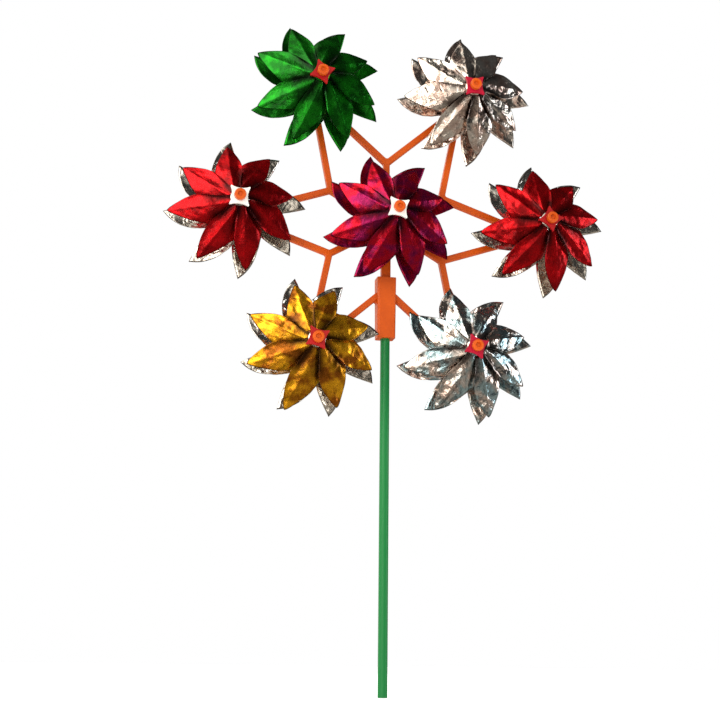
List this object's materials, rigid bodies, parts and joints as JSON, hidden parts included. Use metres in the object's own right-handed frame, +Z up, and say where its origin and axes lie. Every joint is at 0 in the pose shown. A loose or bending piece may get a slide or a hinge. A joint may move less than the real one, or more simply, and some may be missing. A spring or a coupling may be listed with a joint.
{
  "type": "pinwheel",
  "caption": "Pinwheel: a flat snowflake frame on a stick carries metallised foil flowers, each spinning freely on its own pin.",
  "frame": {"origin": "middle of the stick's lower end", "axes": "+Z up along the stick, heads face -Y, +X to the viewer's right"},
  "size_m": [0.2904, 0.049, 0.432],
  "materials": {
    "orange_plastic": "injection-moulded, satin gloss",
    "green_plastic": "extruded tube, satin",
    "red_plastic": "moulded, glossy",
    "crimson_plastic": "moulded, glossy",
    "white_plastic": "moulded, glossy",
    "magenta_foil": "metallised film, mirror gloss, magenta both sides",
    "green_foil": "metallised film, mirror gloss, green both sides",
    "silver_foil": "metallised film, mirror gloss, silver both sides",
    "red_foil": "metallised film, mirror gloss, red on one side and silver on the other",
    "gold_foil": "metallised film, mirror gloss, gold on one side and silver on the other"
  },
  "bodies": {
    "stand": {"frame": "orange_plastic", "stick": "green_plastic", "centre_pin": "orange_plastic", "centre_back_washer": "white_plastic", "top_left_pin": "orange_plastic", "top_left_back_washer": "white_plastic", "top_right_pin": "orange_plastic", "top_right_back_washer": "white_plastic", "right_pin": "orange_plastic", "right_back_washer": "white_plastic", "bottom_right_pin": "orange_plastic", "bottom_right_back_washer": "white_plastic", "bottom_left_pin": "orange_plastic", "bottom_left_back_washer": "white_plastic", "left_pin": "orange_plastic", "left_back_washer": "white_plastic"},
    "centre_flower": {"centre_spacer_tube": "orange_plastic", "centre_rear_foil": "magenta_foil", "centre_front_foil": "magenta_foil", "centre_star_clip": "white_plastic"},
    "top_left_flower": {"top_left_spacer_tube": "orange_plastic", "top_left_rear_foil": "green_foil", "top_left_front_foil": "green_foil", "top_left_star_clip": "red_plastic"},
    "top_right_flower": {"top_right_spacer_tube": "orange_plastic", "top_right_rear_foil": "silver_foil", "top_right_front_foil": "silver_foil", "top_right_star_clip": "crimson_plastic"},
    "right_flower": {"right_spacer_tube": "orange_plastic", "right_rear_foil": "red_foil", "right_front_foil": "red_foil", "right_star_clip": "red_plastic"},
    "bottom_right_flower": {"bottom_right_spacer_tube": "orange_plastic", "bottom_right_rear_foil": "silver_foil", "bottom_right_front_foil": "silver_foil", "bottom_right_star_clip": "crimson_plastic"},
    "bottom_left_flower": {"bottom_left_spacer_tube": "orange_plastic", "bottom_left_rear_foil": "gold_foil", "bottom_left_front_foil": "gold_foil", "bottom_left_star_clip": "red_plastic"},
    "left_flower": {"left_spacer_tube": "orange_plastic", "left_rear_foil": "red_foil", "left_front_foil": "red_foil", "left_star_clip": "white_plastic"}
  },
  "joints": [
    {"name": "centre_spin", "type": "hinge", "parent": "stand", "child": "centre_flower", "pos_m": [0, 0, 0.3], "axis": [0, -1, 0], "continuous": true},
    {"name": "top_left_spin", "type": "hinge", "parent": "stand", "child": "top_left_flower", "pos_m": [-0.05, 0, 0.3866], "axis": [0, -1, 0], "continuous": true},
    {"name": "top_right_spin", "type": "hinge", "parent": "stand", "child": "top_right_flower", "pos_m": [0.05, 0, 0.3866], "axis": [0, -1, 0], "continuous": true},
    {"name": "right_spin", "type": "hinge", "parent": "stand", "child": "right_flower", "pos_m": [0.1, 0, 0.3], "axis": [0, -1, 0], "continuous": true},
    {"name": "bottom_right_spin", "type": "hinge", "parent": "stand", "child": "bottom_right_flower", "pos_m": [0.05, 0, 0.2134], "axis": [0, -1, 0], "continuous": true},
    {"name": "bottom_left_spin", "type": "hinge", "parent": "stand", "child": "bottom_left_flower", "pos_m": [-0.05, 0, 0.2134], "axis": [0, -1, 0], "continuous": true},
    {"name": "left_spin", "type": "hinge", "parent": "stand", "child": "left_flower", "pos_m": [-0.1, 0, 0.3], "axis": [0, -1, 0], "continuous": true}
  ]
}
